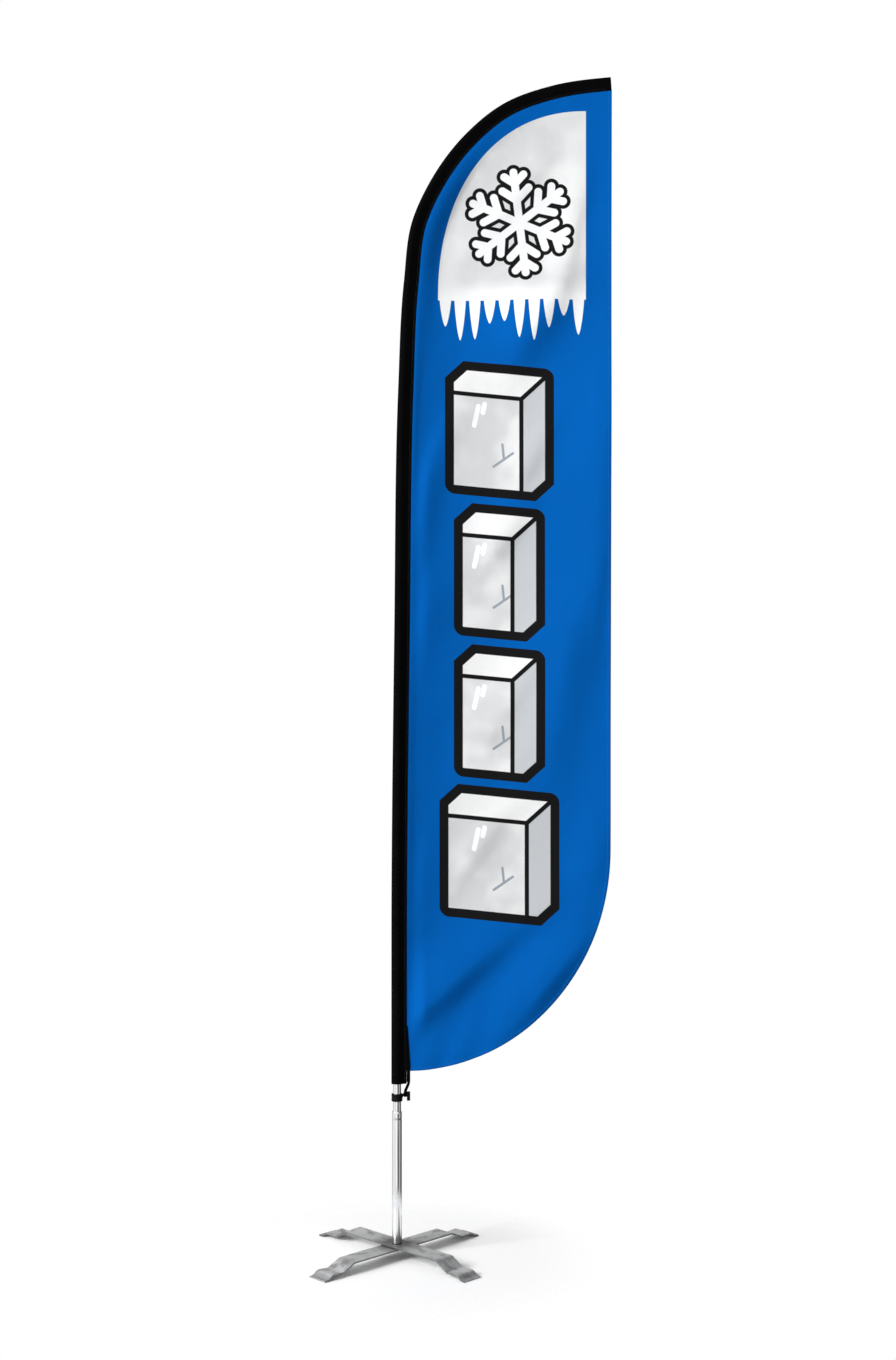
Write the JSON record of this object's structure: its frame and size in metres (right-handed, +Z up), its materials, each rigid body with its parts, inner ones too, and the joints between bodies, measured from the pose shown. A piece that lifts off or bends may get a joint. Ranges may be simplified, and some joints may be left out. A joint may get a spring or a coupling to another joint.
{
  "type": "feather flag",
  "caption": "Feather flag on a curved push-fit mast that turns on a ball-bearing spindle over a folding cross base of bent flat bars.",
  "frame": {"origin": "on the floor, under the middle of the whole object's box; the mast's and spindle's vertical axis stands at X = -0.22824 m, Y = 0", "axes": "+Z up; +X from the mast towards the flag's free edge; +Y square to the flag's face, behind it as it is read with the mast on the left"},
  "size_m": [1.0338, 0.573, 4.102],
  "materials": {
    "bar_steel": "satin mill finish",
    "bright_steel": "zinc plated",
    "bearing_steel": "ground",
    "polished_aluminium": "polished",
    "fibreglass": "pultruded fibreglass",
    "black_nylon": "moulded",
    "white_nylon": "turned",
    "black_rubber": "moulded",
    "elastic_cord": "braided cover",
    "black_cloth": "woven",
    "printed_cloth": "printed knitted polyester"
  },
  "bodies": {
    "base": {"upper_leg_bar": "bar_steel", "pivot_washer": "white_nylon", "nut_washer": "bright_steel", "spindle_nut": "bright_steel", "spindle_shaft": "bright_steel", "retaining_clip": "bright_steel", "lower_bearing_inner_race": "bearing_steel", "upper_bearing_inner_race": "bearing_steel", "inner_race_spacer": "bright_steel"},
    "folding_bar": {"lower_leg_bar": "bar_steel"},
    "bearing_cages": {"lower_bearing_ball_cage": "bearing_steel", "upper_bearing_ball_cage": "bearing_steel"},
    "rotor": {"rotor_sleeve": "black_nylon", "rotor_cap": "black_nylon", "lower_grip_ring": "black_rubber", "upper_grip_ring": "black_rubber", "lower_bearing_outer_race": "bearing_steel", "upper_bearing_outer_race": "bearing_steel"},
    "base_tube": {"mast_base_tube": "polished_aluminium"},
    "mast": {"mast_lower_tube": "polished_aluminium", "mast_middle_tube": "polished_aluminium", "mast_fibre_tube": "fibreglass", "fibre_tube_ferrule": "bright_steel", "flexible_tip_rod": "fibreglass", "mast_tip_cap": "black_rubber", "mast_pocket": "black_cloth", "pocket_tip_liner": "black_rubber", "flag_panel": "printed_cloth", "corner_tab": "black_cloth", "elastic_loop": "elastic_cord"},
    "collar": {"tension_collar": "black_nylon"}
  },
  "joints": [
    {"name": "bar_fold", "type": "hinge", "parent": "base", "child": "folding_bar", "pos_m": [-0.22824, 0, 0.035], "axis": [0, 0, 1], "range_deg": [-70, 70]},
    {"name": "rotor_spin", "type": "hinge", "parent": "base", "child": "rotor", "pos_m": [-0.22824, 0, 0.12], "axis": [0, 0, 1], "continuous": true},
    {"name": "cage_roll", "type": "hinge", "parent": "base", "child": "bearing_cages", "pos_m": [-0.22824, 0, 0.12], "axis": [0, 0, 1], "continuous": true},
    {"name": "base_tube_lift", "type": "slide", "parent": "rotor", "child": "base_tube", "axis": [0, 0, 1], "range_m": [0, 0.19]},
    {"name": "mast_unplug", "type": "slide", "parent": "base_tube", "child": "mast", "axis": [0, 0, 1], "range_m": [0, 0.14]},
    {"name": "collar_slide", "type": "slide", "parent": "mast", "child": "collar", "axis": [0, 0, 1], "range_m": [-0.028, 0.008], "deforming": ["elastic_loop"]}
  ],
  "couplings": [
    {"joint": "cage_roll", "follows": "rotor_spin", "ratio": 0.58}
  ]
}
